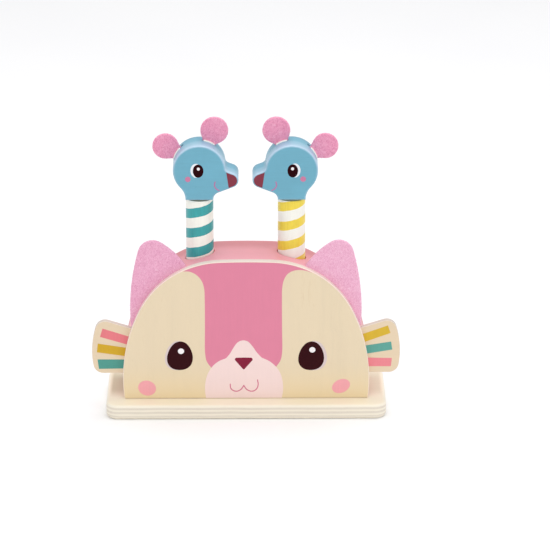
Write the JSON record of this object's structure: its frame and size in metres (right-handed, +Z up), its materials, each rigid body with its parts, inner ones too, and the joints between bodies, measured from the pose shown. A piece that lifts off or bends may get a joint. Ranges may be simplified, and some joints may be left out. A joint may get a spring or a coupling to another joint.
{
  "type": "pop up animal toy",
  "caption": "Wooden pop-up toy: an arched cat-faced block on a base plate, with sprung mice on striped pegs that press down into bores and jump up.",
  "frame": {"origin": "centre of the base plate's underside", "axes": "the face looks along -Y, +X is to the right as one looks at the face, +Z is up along the pegs"},
  "size_m": [0.2464, 0.08, 0.2389],
  "materials": {
    "birch_plywood": "satin lacquered birch plywood",
    "pink_painted_wood": "satin water-based paint",
    "white_painted_wood": "satin water-based paint with coloured spiral bands",
    "blue_painted_wood": "satin water-based paint",
    "beech_dowel": "bare sanded beech",
    "pink_felt": "dense pressed felt",
    "spring_steel": "drawn spring wire",
    "zinc_steel": "zinc plated"
  },
  "bodies": {
    "toy_body": {"base_plate": "birch_plywood", "base_screws": "zinc_steel", "body_block": "pink_painted_wood", "body_block_front": "pink_painted_wood", "front_panel": "birch_plywood", "left_cat_ear": "pink_felt", "right_cat_ear": "pink_felt", "left_whisker_plate": "birch_plywood", "right_whisker_plate": "birch_plywood"},
    "left_spring_unit": {"left_spring": "spring_steel"},
    "left_mouse": {"left_mouse_peg": "white_painted_wood", "left_mouse_head": "blue_painted_wood", "left_mouse_pin": "beech_dowel", "left_mouse_fore_ear": "pink_felt", "left_mouse_rear_ear": "pink_felt"},
    "right_spring_unit": {"right_spring": "spring_steel"},
    "right_mouse": {"right_mouse_peg": "white_painted_wood", "right_mouse_head": "blue_painted_wood", "right_mouse_pin": "beech_dowel", "right_mouse_fore_ear": "pink_felt", "right_mouse_rear_ear": "pink_felt"}
  },
  "joints": [
    {"name": "left_spring_press", "type": "slide", "parent": "toy_body", "child": "left_spring_unit", "axis": [0, 0, 1], "range_m": [-0.044, 0], "stiffness_N_per_m": 160, "springref_m": 0.004, "deforming": ["left_spring"]},
    {"name": "left_mouse_lift", "type": "slide", "parent": "left_spring_unit", "child": "left_mouse", "axis": [0, 0, 1], "range_m": [0, 0.075]},
    {"name": "right_spring_press", "type": "slide", "parent": "toy_body", "child": "right_spring_unit", "axis": [0, 0, 1], "range_m": [-0.044, 0], "stiffness_N_per_m": 160, "springref_m": 0.004, "deforming": ["right_spring"]},
    {"name": "right_mouse_lift", "type": "slide", "parent": "right_spring_unit", "child": "right_mouse", "axis": [0, 0, 1], "range_m": [0, 0.075]}
  ]
}
